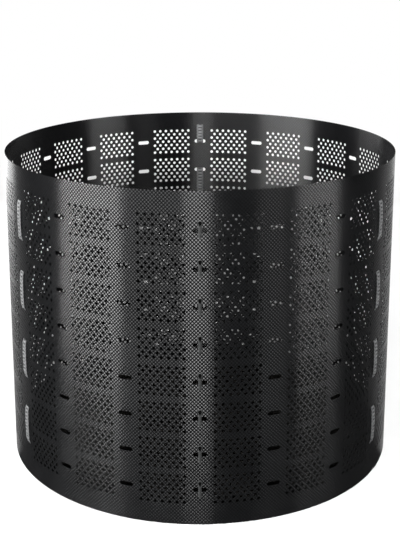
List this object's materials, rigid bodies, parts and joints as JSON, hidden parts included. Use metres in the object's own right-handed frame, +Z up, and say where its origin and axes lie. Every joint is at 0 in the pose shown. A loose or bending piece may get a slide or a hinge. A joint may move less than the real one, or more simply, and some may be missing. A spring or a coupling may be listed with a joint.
{
  "type": "compost bin",
  "caption": "Bottomless round compost bin: one slotted plastic sheet rolled into a ring, lapped at the front, locked by turn keys and stiffened by woven stays.",
  "frame": {"origin": "centre of the ring at the foot of the wall, on the floor", "axes": "+Z up along the ring's axis, -Y towards the lap with the closure keys, +X to the right seen from there"},
  "size_m": [1.1472, 1.1572, 0.9144],
  "materials": {
    "sheet_plastic": "black polyethylene sheet with a fine embossed cross-hatch",
    "key_plastic": "satin moulded black plastic",
    "stay_plastic": "embossed dark grey polyethylene strip"
  },
  "bodies": {
    "bin": {"wall_sheet": "sheet_plastic", "stay_left": "stay_plastic", "stay_right": "stay_plastic", "stay_back": "stay_plastic"},
    "key_1": {"closure_key_1": "key_plastic"},
    "key_2": {"closure_key_2": "key_plastic"},
    "key_3": {"closure_key_3": "key_plastic"},
    "key_4": {"closure_key_4": "key_plastic"},
    "key_5": {"closure_key_5": "key_plastic"},
    "key_6": {"closure_key_6": "key_plastic"},
    "key_7": {"closure_key_7": "key_plastic"},
    "key_8": {"closure_key_8": "key_plastic"}
  },
  "joints": [
    {"name": "key_1_turn", "type": "hinge", "parent": "bin", "child": "key_1", "pos_m": [0, -0.57296, 0.8128], "axis": [0, -1, 0], "range_deg": [0, 90]},
    {"name": "key_2_turn", "type": "hinge", "parent": "bin", "child": "key_2", "pos_m": [0, -0.57296, 0.7112], "axis": [0, -1, 0], "range_deg": [0, 90]},
    {"name": "key_3_turn", "type": "hinge", "parent": "bin", "child": "key_3", "pos_m": [0, -0.57296, 0.6096], "axis": [0, -1, 0], "range_deg": [0, 90]},
    {"name": "key_4_turn", "type": "hinge", "parent": "bin", "child": "key_4", "pos_m": [0, -0.57296, 0.508], "axis": [0, -1, 0], "range_deg": [0, 90]},
    {"name": "key_5_turn", "type": "hinge", "parent": "bin", "child": "key_5", "pos_m": [0, -0.57296, 0.4064], "axis": [0, -1, 0], "range_deg": [0, 90]},
    {"name": "key_6_turn", "type": "hinge", "parent": "bin", "child": "key_6", "pos_m": [0, -0.57296, 0.3048], "axis": [0, -1, 0], "range_deg": [0, 90]},
    {"name": "key_7_turn", "type": "hinge", "parent": "bin", "child": "key_7", "pos_m": [0, -0.57296, 0.2032], "axis": [0, -1, 0], "range_deg": [0, 90]},
    {"name": "key_8_turn", "type": "hinge", "parent": "bin", "child": "key_8", "pos_m": [0, -0.57296, 0.1016], "axis": [0, -1, 0], "range_deg": [0, 90]}
  ]
}
